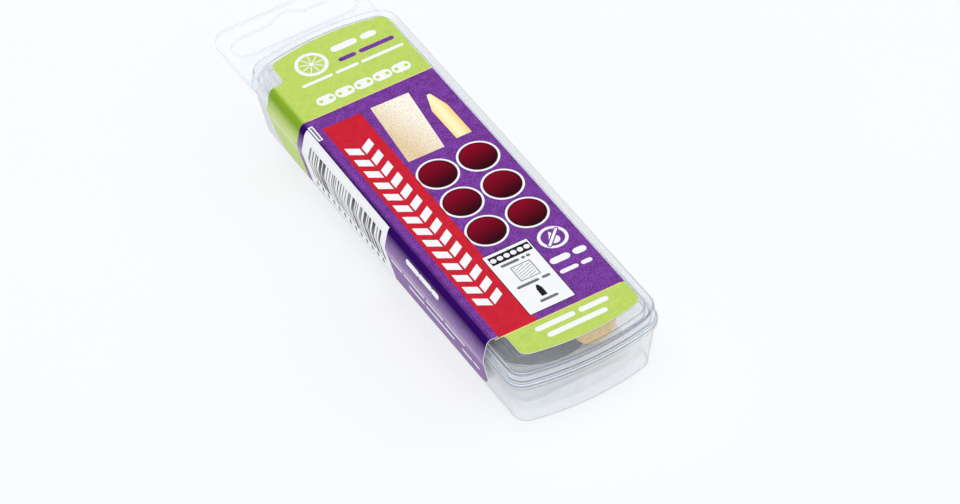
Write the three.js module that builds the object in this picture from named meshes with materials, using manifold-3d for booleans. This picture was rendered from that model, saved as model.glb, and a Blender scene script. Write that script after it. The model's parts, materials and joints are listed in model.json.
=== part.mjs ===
// Pocket puncture repair kit: a clear hinged case with a hang tab, a printed label that
// wraps round the hinge side, and the loose contents that the case holds.
//
// Units are millimetres and +Z is up. The origin is the centre of the face that the closed
// case rests on. +Y runs along the case towards the hang tab, and -X is the hinge side.

import * as THREE from 'three';
import { mergeVertices } from 'three/addons/utils/BufferGeometryUtils.js';
import Module from 'manifold-3d';

const wasm = await Module();
wasm.setup();

// ---- driving dimensions ----

// case heights
const FLOOR = 1.2;
const FLANGE_UNDER = 9.9;
const SEAM = 10.65;
const SEAM_GAP = 0.1;
const LIP_TOP = 12.0;
const LEDGE = 13.6;
const PANEL_TOP = 14.9;
const WALL = 1.0;

// case half widths and half lengths
const RIM_W = 14.95;
const RIM_L = 48.9;
const BASE_W = 13.45;
const BASE_L = 47.0;
const PANEL_W = 12.6;
const PANEL_L = 46.2;
const CORNER_R = 3.4;
const BOW_RATIO = 0.135;

// hang tab, level with the rim
const TAB_TOP = 9.9;
const TAB_THICK = 1.1;
const TAB_W = 14.6;
const TAB_END = 62.3;
const TAB_CORNER_R = 3.5;
const SLOT_Y = 56.3;
const SLOT_HALF = 12.8;
const SLOT_R = 2.6;
const HUMP_R = 4.3;

// living hinge
const HINGE_X = -15.3;
const HINGE_R = 0.3;
const HINGE_HALF = 36;

// printed label, cut at the seam so that one half moves with the lid
const LABEL_THICK = 0.15;
const LABEL_LIFT = 0.03;
const LABEL_W = 11.9;
const LABEL_L = 45.6;
const LABEL_SHIFT = new THREE.Vector2(0.4, -0.4);
const LABEL_CORNER_R = 1.8;
const NOTCH_R = 1;
const FOLD_X = 13.4;
const WRAP_X = -15.0;
const HALF_GAP = 0.45;
const WRAP_HALF = 38.2;
const WRAP_BOTTOM = 2.0;
const WRAP_CORNER_R = 4;

// contents, stacked on the tray's floor
const LAYER_GAP = 0.05;
const SHEET = { width: 23.2, length: 86, thick: 0.2, corner: 3 };
const PATCH = { radius: 11, thick: 0.9, pitch: 27 };
const PAD = { width: 22, length: 44, corner: 1, board: 0.5, grit: 0.3, y: 22 };
const CRAYON = { x: 6.1, radius: 4.1, start: -39.3, shoulder: -4.5, tip: -0.5, tipRadius: 1.2 };
const WRAPPER = { wall: 0.2, start: -38.3, end: -10.5 };

// facets on round shapes
const END_STEPS = 7;
const CORNER_STEPS = 5;
const ROUND_STEPS = 36;

// ---- materials ----

const plastic = { roughness: 0.22, metalness: 0 };
const clearCase = new THREE.MeshStandardMaterial({
  ...plastic, color: 0xdfe5ec, transparent: true, opacity: 0.4,
});
const labelPrint = new THREE.MeshStandardMaterial({ ...plastic, color: 0x713f8d });
const releasePaper = new THREE.MeshStandardMaterial({ color: 0xf1efe8, roughness: 0.6 });
const patchRubber = new THREE.MeshStandardMaterial({ color: 0x1f1c1e, roughness: 0.75 });
const padBoard = new THREE.MeshStandardMaterial({ color: 0xe9dcb8, roughness: 0.85 });
const padGrit = new THREE.MeshStandardMaterial({ color: 0xc9ae80, roughness: 1 });
const crayonWax = new THREE.MeshStandardMaterial({ color: 0xecc35f, roughness: 0.5 });
const crayonPaper = new THREE.MeshStandardMaterial({ color: 0xf0dfae, roughness: 0.8 });

// ---- solids ----

function toSolid(geometry) {
  const bare = geometry.clone();
  bare.deleteAttribute('normal');
  bare.deleteAttribute('uv');
  const merged = mergeVertices(bare, 1e-4);
  const mesh = new wasm.Mesh({
    numProp: 3,
    vertProperties: new Float32Array(merged.attributes.position.array),
    triVerts: new Uint32Array(merged.index.array),
  });
  return new wasm.Manifold(mesh);
}

function toGeometry(solid) {
  const mesh = solid.getMesh();
  const geometry = new THREE.BufferGeometry();
  geometry.setAttribute('position', new THREE.BufferAttribute(mesh.vertProperties, 3));
  geometry.setIndex(new THREE.BufferAttribute(mesh.triVerts, 1));
  geometry.computeVertexNormals();
  return geometry;
}

// The case's outline seen from above: straight long sides, ends that bow outwards, and
// rounded corners. The points run counter-clockwise.
function caseOutline(halfWidth, halfLength, cornerRadius) {
  const bow = BOW_RATIO * halfWidth;
  const endRadius = (halfWidth ** 2 + bow ** 2) / (2 * bow);
  const endCentre = halfLength - endRadius;
  const cornerX = halfWidth - cornerRadius;
  const cornerY = endCentre + Math.sqrt((endRadius - cornerRadius) ** 2 - cornerX ** 2);
  const endAngle = Math.atan2(cornerX, cornerY - endCentre);

  const quarter = [];
  for (let i = 0; i <= END_STEPS; i++) {
    const angle = endAngle * i / END_STEPS;
    quarter.push([endRadius * Math.sin(angle), endCentre + endRadius * Math.cos(angle)]);
  }
  for (let i = 1; i <= CORNER_STEPS; i++) {
    const angle = endAngle + (Math.PI / 2 - endAngle) * i / CORNER_STEPS;
    quarter.push([cornerX + cornerRadius * Math.sin(angle), cornerY + cornerRadius * Math.cos(angle)]);
  }

  const inwards = [...quarter].reverse();
  const outwards = quarter.slice(1);
  return [
    ...inwards.map(([x, y]) => new THREE.Vector2(x, y)),
    ...outwards.map(([x, y]) => new THREE.Vector2(-x, y)),
    ...inwards.map(([x, y]) => new THREE.Vector2(-x, -y)).slice(0, -1),
    ...quarter.map(([x, y]) => new THREE.Vector2(x, -y)),
  ];
}

// A closed solid through case outlines at rising heights. A ring is [z, half width, half
// length, corner radius].
function loft(rings) {
  const outlines = rings.map(([, w, l, r]) => caseOutline(w, l, r));
  const count = outlines[0].length;
  const positions = [];
  outlines.forEach((outline, k) => {
    outline.forEach((point) => positions.push(point.x, point.y, rings[k][0]));
  });

  const index = [];
  for (let k = 0; k + 1 < rings.length; k++) {
    for (let i = 0; i < count; i++) {
      const a = k * count + i;
      const b = k * count + (i + 1) % count;
      index.push(a, b, b + count, a, b + count, a + count);
    }
  }
  const top = (rings.length - 1) * count;
  for (let i = 1; i + 1 < count; i++) {
    index.push(0, i + 1, i);
    index.push(top, top + i, top + i + 1);
  }

  const geometry = new THREE.BufferGeometry();
  geometry.setAttribute('position', new THREE.Float32BufferAttribute(positions, 3));
  geometry.setIndex(index);
  return geometry;
}

// A flat plate of a given outline, its underside at height z.
function plate(shape, z, thickness) {
  const geometry = new THREE.ExtrudeGeometry(shape, {
    depth: thickness,
    bevelEnabled: false,
    curveSegments: CORNER_STEPS,
  });
  geometry.translate(0, 0, z);
  return geometry;
}

function roundedRectangle(width, length, radius, centreY = 0) {
  const x = width / 2 - radius;
  const y = length / 2 - radius;
  const shape = new THREE.Shape();
  shape.absarc(x, centreY + y, radius, 0, Math.PI / 2);
  shape.absarc(-x, centreY + y, radius, Math.PI / 2, Math.PI);
  shape.absarc(-x, centreY - y, radius, Math.PI, 1.5 * Math.PI);
  shape.absarc(x, centreY - y, radius, 1.5 * Math.PI, 2 * Math.PI);
  return shape;
}

// A thin sheet that follows a path of [x, z] points, given from the top down, and has the
// same section all along Y. Its thickness is added on the -X side of the path.
function sheetAlongY(path, thickness, halfLength) {
  const points = path.map(([x, z]) => new THREE.Vector2(x, z));
  const outer = points.map((point, i) => {
    const before = points[Math.max(i - 1, 0)];
    const after = points[Math.min(i + 1, points.length - 1)];
    const along = after.clone().sub(before).normalize();
    return new THREE.Vector2(point.x + along.y * thickness, point.y - along.x * thickness);
  });
  const shape = new THREE.Shape([...points, ...outer.reverse()]);
  const geometry = new THREE.ExtrudeGeometry(shape, { depth: 2 * halfLength, bevelEnabled: false });
  geometry.rotateX(Math.PI / 2);
  geometry.translate(0, halfLength, 0);
  return geometry;
}

// A round solid about an axis along Y, from a profile of [radius, y] points.
function turnedAlongY(profile, x, z) {
  const points = profile.map(([radius, y]) => new THREE.Vector2(radius, y));
  const geometry = new THREE.LatheGeometry(points, ROUND_STEPS);
  geometry.translate(x, 0, z);
  return geometry;
}

// ---- the case ----

function tabSolid() {
  const shape = new THREE.Shape();
  const cornerX = TAB_W - TAB_CORNER_R;
  const cornerY = TAB_END - TAB_CORNER_R;
  const root = BASE_L - 2;
  shape.moveTo(-TAB_W + WALL, root);
  shape.lineTo(TAB_W - WALL, root);
  shape.lineTo(TAB_W, RIM_L - CORNER_R);
  shape.absarc(cornerX, cornerY, TAB_CORNER_R, 0, Math.PI / 2);
  shape.absarc(-cornerX, cornerY, TAB_CORNER_R, Math.PI / 2, Math.PI);
  shape.lineTo(-TAB_W, RIM_L - CORNER_R);
  return toSolid(plate(shape, TAB_TOP - TAB_THICK, TAB_THICK));
}

// The euro slot: a long round-ended slot with a hump in the middle of its outer side.
function euroSlotSolid() {
  const end = SLOT_HALF - SLOT_R;
  const humpHalf = Math.sqrt(HUMP_R ** 2 - SLOT_R ** 2);
  const humpAngle = Math.asin(SLOT_R / HUMP_R);
  const shape = new THREE.Shape();
  shape.moveTo(-end, SLOT_Y - SLOT_R);
  shape.lineTo(end, SLOT_Y - SLOT_R);
  shape.absarc(end, SLOT_Y, SLOT_R, -Math.PI / 2, Math.PI / 2);
  shape.lineTo(humpHalf, SLOT_Y + SLOT_R);
  shape.absarc(0, SLOT_Y, HUMP_R, humpAngle, Math.PI - humpAngle);
  shape.lineTo(-end, SLOT_Y + SLOT_R);
  shape.absarc(-end, SLOT_Y, SLOT_R, Math.PI / 2, 1.5 * Math.PI);
  return toSolid(plate(shape, TAB_TOP - 2 * TAB_THICK, 3 * TAB_THICK));
}

function caseBase() {
  const rimTop = SEAM - SEAM_GAP / 2;
  const wallW = RIM_W - 0.4;
  const wallL = RIM_L - 0.4;
  const outer = toSolid(loft([
    [0, BASE_W - 0.55, BASE_L - 0.55, CORNER_R - 0.9],
    [0.3, BASE_W - 0.15, BASE_L - 0.15, CORNER_R - 0.7],
    [0.9, BASE_W + 0.1, BASE_L + 0.1, CORNER_R - 0.6],
    [FLANGE_UNDER - 0.4, wallW, wallL, CORNER_R - 0.2],
    [FLANGE_UNDER, RIM_W, RIM_L, CORNER_R],
    [rimTop, RIM_W, RIM_L, CORNER_R],
  ]));
  const lip = toSolid(loft([
    [FLANGE_UNDER, RIM_W - 1.05, RIM_L - 1.05, CORNER_R - 0.6],
    [LIP_TOP - 0.2, RIM_W - 1.05, RIM_L - 1.05, CORNER_R - 0.6],
    [LIP_TOP, RIM_W - 1.25, RIM_L - 1.25, CORNER_R - 0.7],
  ]));
  const cavity = toSolid(loft([
    [FLOOR, BASE_W - 1.6, BASE_L - 1.6, CORNER_R - 1.4],
    [FLOOR + 0.5, BASE_W - 1.1, BASE_L - 1.1, CORNER_R - 1.2],
    [LIP_TOP + 1, RIM_W - 1.7, RIM_L - 1.7, CORNER_R - 1],
  ]));
  return toGeometry(outer.add(lip).add(tabSolid()).subtract(cavity).subtract(euroSlotSolid()));
}

function caseLid() {
  const rimBottom = SEAM + SEAM_GAP / 2;
  const skirtW = RIM_W - 0.2;
  const panelUnder = PANEL_TOP - WALL;
  const ledgeUnder = LEDGE - WALL;
  const outer = toSolid(loft([
    [rimBottom, RIM_W, RIM_L, CORNER_R],
    [rimBottom + 0.6, RIM_W, RIM_L, CORNER_R],
    [rimBottom + 0.9, skirtW, RIM_L - 0.1, CORNER_R],
    [LEDGE - 0.4, skirtW, RIM_L, CORNER_R + 0.6],
    [LEDGE, skirtW - 0.15, RIM_L - 0.15, CORNER_R + 0.8],
    [LEDGE + 0.2, skirtW - 0.5, RIM_L - 0.5, CORNER_R + 0.6],
    [LEDGE, PANEL_W + 0.8, PANEL_L + 0.7, CORNER_R],
    [PANEL_TOP - 0.3, PANEL_W + 0.3, PANEL_L + 0.3, CORNER_R - 0.3],
    [PANEL_TOP, PANEL_W, PANEL_L, CORNER_R - 0.5],
  ]));
  const cavity = toSolid(loft([
    [rimBottom - 1, RIM_W - 0.9, RIM_L - 0.9, CORNER_R - 0.5],
    [LIP_TOP + 0.2, RIM_W - 0.9, RIM_L - 0.9, CORNER_R - 0.5],
    [ledgeUnder - 0.05, RIM_W - 1.4, RIM_L - 1.4, CORNER_R - 0.7],
    [ledgeUnder, PANEL_W - 0.1, PANEL_L - 0.2, CORNER_R - 0.7],
    [panelUnder - 0.2, PANEL_W - 0.6, PANEL_L - 0.6, CORNER_R - 0.9],
    [panelUnder, PANEL_W - 0.9, PANEL_L - 0.9, CORNER_R - 1.1],
  ]));
  return toGeometry(outer.subtract(cavity));
}

// The living hinge is a round bead on the hinge line, with a web that meets the base's rim.
function hingeFilm() {
  const bead = turnedAlongY([
    [0, -HINGE_HALF],
    [HINGE_R, -HINGE_HALF],
    [HINGE_R, HINGE_HALF],
    [0, HINGE_HALF],
  ], HINGE_X, SEAM);
  const webWidth = -RIM_W - HINGE_X;
  const webHeight = HINGE_R - SEAM_GAP / 2;
  const web = new THREE.BoxGeometry(webWidth, 2 * HINGE_HALF, webHeight);
  web.translate(HINGE_X + webWidth / 2, 0, SEAM - SEAM_GAP / 2 - webHeight / 2);
  return toGeometry(toSolid(bead).add(toSolid(web)));
}

// ---- the label ----

// The label's outline seen from above. Past the notch at each end, its -X side runs on over
// the edge of the lid as the wrap.
function labelOutline() {
  const panel = caseOutline(LABEL_W, LABEL_L, LABEL_CORNER_R).map((point) => point.add(LABEL_SHIFT));
  const half = panel.length / 2;
  const notchX = LABEL_SHIFT.x - LABEL_W - NOTCH_R;
  const notchY = WRAP_HALF + NOTCH_R;
  const shape = new THREE.Shape(panel.slice(0, half));
  shape.absarc(notchX, notchY, NOTCH_R, 0, -Math.PI / 2, true);
  shape.lineTo(-RIM_W - 1, WRAP_HALF);
  shape.lineTo(-RIM_W - 1, -WRAP_HALF);
  shape.absarc(notchX, -notchY, NOTCH_R, Math.PI / 2, 0, true);
  panel.slice(half).forEach((point) => shape.lineTo(point.x, point.y));
  return shape;
}

function labelTop() {
  const underside = PANEL_TOP + LABEL_LIFT;
  const sheet = toSolid(sheetAlongY([
    [PANEL_W, underside],
    [-FOLD_X, underside],
    [-FOLD_X - 0.75, underside - 0.2],
    [WRAP_X + 0.25, underside - 0.85],
    [WRAP_X, underside - 1.9],
    [WRAP_X, SEAM + HALF_GAP],
  ], LABEL_THICK, PANEL_L));
  const mask = toSolid(plate(labelOutline(), SEAM, PANEL_TOP - SEAM + 1));
  return toGeometry(sheet.intersect(mask));
}

function labelSide() {
  const sheet = toSolid(sheetAlongY([
    [WRAP_X, SEAM - HALF_GAP],
    [WRAP_X, SEAM - HALF_GAP - 1],
    [-BASE_W - 0.6, WRAP_BOTTOM],
  ], LABEL_THICK, WRAP_HALF));
  // rounds the two lower corners
  const mask = new THREE.Shape();
  const cornerY = WRAP_HALF - WRAP_CORNER_R;
  const cornerZ = WRAP_BOTTOM + WRAP_CORNER_R;
  mask.moveTo(WRAP_HALF, SEAM);
  mask.lineTo(-WRAP_HALF, SEAM);
  mask.absarc(-cornerY, cornerZ, WRAP_CORNER_R, Math.PI, 1.5 * Math.PI);
  mask.absarc(cornerY, cornerZ, WRAP_CORNER_R, 1.5 * Math.PI, 2 * Math.PI);
  const block = plate(mask, 0, 4);
  block.rotateX(Math.PI / 2);
  block.rotateZ(Math.PI / 2);
  block.translate(-RIM_W - 2, 0, 0);
  return toGeometry(sheet.intersect(toSolid(block)));
}

// ---- the contents ----

const LAYER = SHEET.thick + PATCH.thick + 2 * LAYER_GAP;
const STACK_TOP = FLOOR + LAYER_GAP + 2 * LAYER;

function patchSheet(z) {
  return plate(roundedRectangle(SHEET.width, SHEET.length, SHEET.corner), z, SHEET.thick);
}

function patch(y, z) {
  const geometry = new THREE.CylinderGeometry(PATCH.radius - 0.5, PATCH.radius, PATCH.thick, ROUND_STEPS);
  geometry.rotateX(Math.PI / 2);
  geometry.translate(0, y, z + PATCH.thick / 2);
  return geometry;
}

function padLayer(z, thickness) {
  return plate(roundedRectangle(PAD.width, PAD.length, PAD.corner, PAD.y), z, thickness);
}

const crayonZ = STACK_TOP + CRAYON.radius + LAYER_GAP + WRAPPER.wall;

function crayonStick() {
  return turnedAlongY([
    [0, CRAYON.start],
    [CRAYON.radius, CRAYON.start],
    [CRAYON.radius, CRAYON.shoulder],
    [CRAYON.tipRadius, CRAYON.tip],
    [0, CRAYON.tip],
  ], CRAYON.x, crayonZ);
}

function crayonWrapper() {
  const inner = CRAYON.radius + LAYER_GAP;
  const outer = inner + WRAPPER.wall;
  return turnedAlongY([
    [inner, WRAPPER.start],
    [outer, WRAPPER.start],
    [outer, WRAPPER.end],
    [inner, WRAPPER.end],
    [inner, WRAPPER.start],
  ], CRAYON.x, crayonZ);
}

// ---- the scene graph ----

const group = new THREE.Group();

function addPiece(name, geometry, material, parent = group) {
  const mesh = new THREE.Mesh(geometry, material);
  mesh.name = name;
  parent.add(mesh);
}

const base = new THREE.Group();
const lid = new THREE.Group();
const contents = new THREE.Group();
group.add(base, lid, contents);

addPiece('case_base', caseBase(), clearCase, base);
addPiece('hinge_film', hingeFilm(), clearCase, base);
addPiece('label_side', labelSide(), labelPrint, base);
addPiece('case_lid', caseLid(), clearCase, lid);
addPiece('label_top', labelTop(), labelPrint, lid);

['lower', 'upper'].forEach((level, k) => {
  const sheetZ = FLOOR + LAYER_GAP + k * LAYER;
  const patchZ = sheetZ + SHEET.thick + LAYER_GAP;
  addPiece(`patch_sheet_${level}`, patchSheet(sheetZ), releasePaper, contents);
  for (let i = 0; i < 3; i++) {
    addPiece(`patch_${3 * k + i + 1}`, patch((i - 1) * PATCH.pitch, patchZ), patchRubber, contents);
  }
});

addPiece('abrasive_backing', padLayer(STACK_TOP, PAD.board), padBoard, contents);
addPiece('abrasive_grit', padLayer(STACK_TOP + PAD.board + LAYER_GAP, PAD.grit), padGrit, contents);
addPiece('crayon_stick', crayonStick(), crayonWax, contents);
addPiece('crayon_wrapper', crayonWrapper(), crayonPaper, contents);

export default group;
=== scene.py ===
"""Looks of a pocket puncture repair kit: a clear hinged case, its printed label and its contents.

Sizes are in millimetres and are turned into metres when a mesh is made. +Z is up, +Y runs along
the case towards the hang tab, and -X is the hinge side.
"""

import json
import math
import random

import bmesh
import bpy
from mathutils import Matrix, Vector, noise
from mathutils.geometry import tessellate_polygon


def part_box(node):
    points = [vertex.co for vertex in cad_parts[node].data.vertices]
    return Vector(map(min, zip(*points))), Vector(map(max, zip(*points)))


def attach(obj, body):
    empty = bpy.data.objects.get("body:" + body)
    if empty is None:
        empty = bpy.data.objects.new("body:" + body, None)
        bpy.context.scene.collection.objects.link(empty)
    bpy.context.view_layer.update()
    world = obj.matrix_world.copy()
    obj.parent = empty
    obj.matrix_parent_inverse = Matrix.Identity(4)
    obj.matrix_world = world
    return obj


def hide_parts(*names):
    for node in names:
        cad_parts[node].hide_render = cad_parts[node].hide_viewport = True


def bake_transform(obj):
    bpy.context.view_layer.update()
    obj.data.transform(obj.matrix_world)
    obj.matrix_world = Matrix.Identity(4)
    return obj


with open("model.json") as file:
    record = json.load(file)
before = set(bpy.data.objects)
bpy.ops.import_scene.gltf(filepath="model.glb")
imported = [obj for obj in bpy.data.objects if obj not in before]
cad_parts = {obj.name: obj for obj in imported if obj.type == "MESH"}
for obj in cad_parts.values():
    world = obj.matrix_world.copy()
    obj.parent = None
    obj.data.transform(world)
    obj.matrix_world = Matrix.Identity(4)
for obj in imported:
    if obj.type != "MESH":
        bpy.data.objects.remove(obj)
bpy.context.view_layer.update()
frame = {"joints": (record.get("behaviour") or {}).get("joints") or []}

MM = 0.001
# edges that turn by more degrees than this are left sharp
SHARP_ANGLE = 32


# ---- sizes taken from the frame ----

def box_mm(node):
    low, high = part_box(node)
    return low / MM, high / MM


lid_high = box_mm("case_lid")[1]
base_high = box_mm("case_base")[1]
side_low, side_high = box_mm("label_side")
joint = frame["joints"][0]

HINGE_X = joint["pos_m"][0] / MM
SEAM = joint["pos_m"][2] / MM
RIM_W = lid_high.x
RIM_L = lid_high.y
PANEL_TOP = lid_high.z
LIP_TOP = base_high.z
TAB_END = base_high.y
WRAP_HALF = side_high.y
WRAP_BOTTOM = side_low.z

# ---- sizes of the fine shapes ----

# a section row says how far it is inset from the rim; the long way is inset a little more
LENGTH_INSET = 1.2
BOW_RATIO = 0.135
WALL = 1.0
FLOOR = 1.2
PANEL_INSET = 2.35
PANEL_FOOT = 13.45
LEDGE_BEAD = 13.85
FLANGE_UNDER = 9.9
BASE_INSET = 1.5
RIM_CORNER = 3.4
# the section's strips shorter than this are its small rounded corners
CORNER_STRIP = 0.1

TAB_TOP = 9.9
TAB_THICK = 1.1
TAB_W = 14.6
TAB_CORNER = 3.5
TAB_BEVEL = 0.2
SLOT_Y = 56.3
SLOT_HALF = 12.8
SLOT_R = 2.6
HUMP_R = 4.3

LABEL_THICK = 0.15
LABEL_LIFT = 0.03
LABEL_W = 11.9
LABEL_L = 45.6
LABEL_SHIFT = Vector((0.4, -0.4))
LABEL_CORNER = 1.8
FOLD_X = 13.4
NOTCH_R = 1.2
WRAP_CORNER = 4.0
# how much shorter the wrap is, at each end, at its bottom than at the fold
WRAP_DRAW = 1.0
# the label and its ink are cut into strips this wide about the seam
BEND_STRIP = 0.3
BEND_STRIPS = 9
# the print is turned a little on the case
PRINT_TURN = math.radians(0.52)
# where the green bands at the two ends begin
GREEN_FAR = 26.8
GREEN_NEAR = -38.8
# the height of one level of ink, and the width of the finest printed line
INK = 0.018
HAIRLINE = 0.1


# ---- outlines and paths ----

def arc(centre, radius, start, end, steps):
    """Points on an arc about a centre, from one angle to another in degrees, both ends included."""
    points = []
    for i in range(steps + 1):
        angle = math.radians(start + (end - start) * i / steps)
        points.append((centre[0] + radius * math.cos(angle), centre[1] + radius * math.sin(angle)))
    return points


def case_outline(half_width, half_length, corner, end_steps=12, corner_steps=8):
    """The case seen from above, counter-clockwise: straight sides, bowed ends and round corners."""
    bow = BOW_RATIO * half_width
    end_radius = (half_width ** 2 + bow ** 2) / (2 * bow)
    end_centre = half_length - end_radius
    corner_x = half_width - corner
    corner_y = end_centre + math.sqrt((end_radius - corner) ** 2 - corner_x ** 2)
    turn = math.degrees(math.atan2(corner_y - end_centre, corner_x))
    end = arc((0, end_centre), end_radius, turn, 90, end_steps)
    quarter = arc((corner_x, corner_y), corner, 0, turn, corner_steps) + end[1:]
    mirrored = [(-x, y) for x, y in reversed(quarter[:-1])]
    far_half = quarter + mirrored
    return far_half + [(-x, -y) for x, y in far_half]


def soften(rows, steps=5):
    """Rounds a path of rows. A row's last number is how far from the row its rounding starts."""
    path = []
    for k, row in enumerate(rows):
        here = Vector(row[:-1])
        cut = row[-1]
        if k in (0, len(rows) - 1) or cut == 0:
            path.append(here)
            continue
        before = Vector(rows[k - 1][:-1]) - here
        after = Vector(rows[k + 1][:-1]) - here
        start = here + before * min(cut / before.length, 0.5)
        end = here + after * min(cut / after.length, 0.5)
        for i in range(steps + 1):
            t = i / steps
            path.append(start * (1 - t) ** 2 + here * (2 * t * (1 - t)) + end * t ** 2)
    return path


# ---- meshes ----

def add_object(name, mesh, materials):
    """An object in metres from a mesh in millimetres, smooth except where it turns sharply."""
    mesh.transform(Matrix.Scale(MM, 4))
    mesh.shade_smooth()
    mesh.set_sharp_from_angle(angle=math.radians(SHARP_ANGLE))
    for material in materials:
        mesh.materials.append(material)
    piece = bpy.data.objects.new(name, mesh)
    bpy.context.scene.collection.objects.link(piece)
    return piece


def mesh_from(bm, name):
    mesh = bpy.data.meshes.new(name)
    bm.to_mesh(mesh)
    bm.free()
    return mesh


def bridge(bm, ring, following):
    """Quads between two rings of the same number of points."""
    count = len(ring)
    faces = []
    for i in range(count):
        j = (i + 1) % count
        faces.append(bm.faces.new((ring[i], ring[j], following[j], following[i])))
    return faces


def sweep_case(name, rows):
    """A closed shell whose section rows (inset, height, corner radius) run round the case.

    Its short strips, which are the small rounded corners, get the second material, which the case
    tints darker as painted shade."""
    bm = bmesh.new()
    rings = []
    for inset, z, corner in rows:
        outline = case_outline(RIM_W - inset, RIM_L - LENGTH_INSET * inset, corner)
        rings.append([bm.verts.new((x, y, z)) for x, y in outline])
    for k in range(len(rows) - 1):
        short = (rows[k + 1] - rows[k]).xy.length < CORNER_STRIP
        for face in bridge(bm, rings[k], rings[k + 1]):
            face.material_index = int(short)
    bm.faces.new(rings[0])
    bm.faces.new(rings[-1])
    bmesh.ops.recalc_face_normals(bm, faces=bm.faces)
    return mesh_from(bm, name)


def lathe(profile, steps=64):
    """A closed solid turned about Z from (radius, height) rows that start and end on the axis."""
    bm = bmesh.new()
    first = bm.verts.new((0, 0, profile[0][1]))
    last = bm.verts.new((0, 0, profile[-1][1]))
    rings = []
    for radius, z in profile[1:-1]:
        rings.append([bm.verts.new((x, y, z)) for x, y in arc((0, 0), radius, 0, 360, steps)[:-1]])
    for ring, following in zip(rings, rings[1:]):
        bridge(bm, ring, following)
    for apex, ring in ((first, rings[0]), (last, rings[-1])):
        for i in range(steps):
            bm.faces.new((apex, ring[i], ring[(i + 1) % steps]))
    bmesh.ops.recalc_face_normals(bm, faces=bm.faces)
    return bm


def plate_mesh(name, loops, z, thickness, bevel):
    """A flat plate with bevelled edges from an outer loop and its holes."""
    curve = bpy.data.curves.new(name, "CURVE")
    curve.dimensions = "2D"
    curve.fill_mode = "BOTH"
    curve.extrude = thickness / 2 - bevel
    curve.bevel_depth = bevel
    curve.bevel_resolution = 2
    curve.offset = -bevel
    for loop in loops:
        spline = curve.splines.new("POLY")
        spline.points.add(len(loop) - 1)
        for point, (x, y) in zip(spline.points, loop):
            point.co = (x, y, 0, 1)
        spline.use_cyclic_u = True
    holder = bpy.data.objects.new(name, curve)
    bpy.context.scene.collection.objects.link(holder)
    bpy.context.view_layer.update()
    mesh = bpy.data.meshes.new_from_object(holder.evaluated_get(bpy.context.evaluated_depsgraph_get()))
    bpy.data.objects.remove(holder)
    bm = bmesh.new()
    bm.from_mesh(mesh)
    bmesh.ops.remove_doubles(bm, verts=bm.verts, dist=1e-4)
    bmesh.ops.recalc_face_normals(bm, faces=bm.faces)
    bmesh.ops.translate(bm, verts=bm.verts, vec=(0, 0, z + thickness / 2))
    return mesh_from(bm, name)


def join_solids(name, first, second):
    """One closed mesh from two closed meshes that overlap."""
    scene = bpy.context.scene.collection
    holder = bpy.data.objects.new(name, first)
    other = bpy.data.objects.new(name + "_other", second)
    scene.objects.link(holder)
    scene.objects.link(other)
    union = holder.modifiers.new("join", "BOOLEAN")
    union.operation = "UNION"
    union.solver = "EXACT"
    union.object = other
    bpy.context.view_layer.update()
    mesh = bpy.data.meshes.new_from_object(holder.evaluated_get(bpy.context.evaluated_depsgraph_get()))
    bpy.data.objects.remove(holder)
    bpy.data.objects.remove(other)
    return mesh


# ---- materials ----

def srgb(red, green, blue):
    """A colour from 0 to 255 display values, as the linear values that shaders take."""
    linear = []
    for value in (red, green, blue):
        share = value / 255
        linear.append(share / 12.92 if share <= 0.04045 else ((share + 0.055) / 1.055) ** 2.4)
    return (*linear, 1)


class Shader:
    """A material's node tree, with short calls for the nodes that many materials share."""

    def __init__(self, name, uv=None):
        self.material = bpy.data.materials.new(name)
        self.material.use_nodes = True
        self.tree = self.material.node_tree
        self.tree.nodes.clear()
        self.output = self.add("ShaderNodeOutputMaterial")
        if uv:
            self.place = self.add("ShaderNodeUVMap", uv_map=uv).outputs["UV"]
        else:
            coordinates = self.add("ShaderNodeTexCoord").outputs["Object"]
            self.place = self.vector("SCALE", coordinates, Scale=1 / MM)

    def add(self, kind, inputs=None, **settings):
        node = self.tree.nodes.new(kind)
        for key, value in settings.items():
            setattr(node, key, value)
        for key, value in (inputs or {}).items():
            self.put(node.inputs[key], value)
        return node

    def put(self, socket, value):
        if isinstance(value, bpy.types.NodeSocket):
            self.tree.links.new(value, socket)
        else:
            socket.default_value = value

    def vector(self, operation, *values, **named):
        node = self.add("ShaderNodeVectorMath", operation=operation)
        for socket, value in zip(node.inputs, values):
            self.put(socket, value)
        for key, value in named.items():
            self.put(node.inputs[key], value)
        return node.outputs["Value" if operation in ("LENGTH", "DOT_PRODUCT") else "Vector"]

    def math(self, operation, *values):
        node = self.add("ShaderNodeMath", operation=operation)
        for socket, value in zip(node.inputs, values):
            self.put(socket, value)
        return node.outputs[0]

    def noise(self, size, detail=2.0, roughness=0.5):
        """Noise whose features are about size millimetres across."""
        inputs = {"Vector": self.place, "Scale": 1 / size, "Detail": detail, "Roughness": roughness}
        return self.add("ShaderNodeTexNoise", inputs).outputs[0]

    def spread(self, value, low, high, out_low, out_high):
        node = self.add("ShaderNodeMapRange")
        for socket, number in zip(node.inputs, (value, low, high, out_low, out_high)):
            self.put(socket, number)
        return node.outputs[0]

    def mix(self, share, first, second):
        node = self.add("ShaderNodeMix", data_type="RGBA")
        self.put(node.inputs["Factor"], share)
        self.put(node.inputs[6], first)
        self.put(node.inputs[7], second)
        return node.outputs[2]

    def bump(self, height, depth, strength):
        """A bump whose full height is depth millimetres."""
        inputs = {"Height": height, "Distance": depth * MM, "Strength": strength}
        return self.add("ShaderNodeBump", inputs).outputs[0]

    def principled(self, **inputs):
        names = {key.replace("_", " "): value for key, value in inputs.items()}
        return self.add("ShaderNodeBsdfPrincipled", names).outputs[0]

    def finish(self, surface):
        self.tree.links.new(surface, self.output.inputs["Surface"])
        return self.material


def darker(colour, share):
    return (*[channel * share for channel in colour[:3]], 1)


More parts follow.
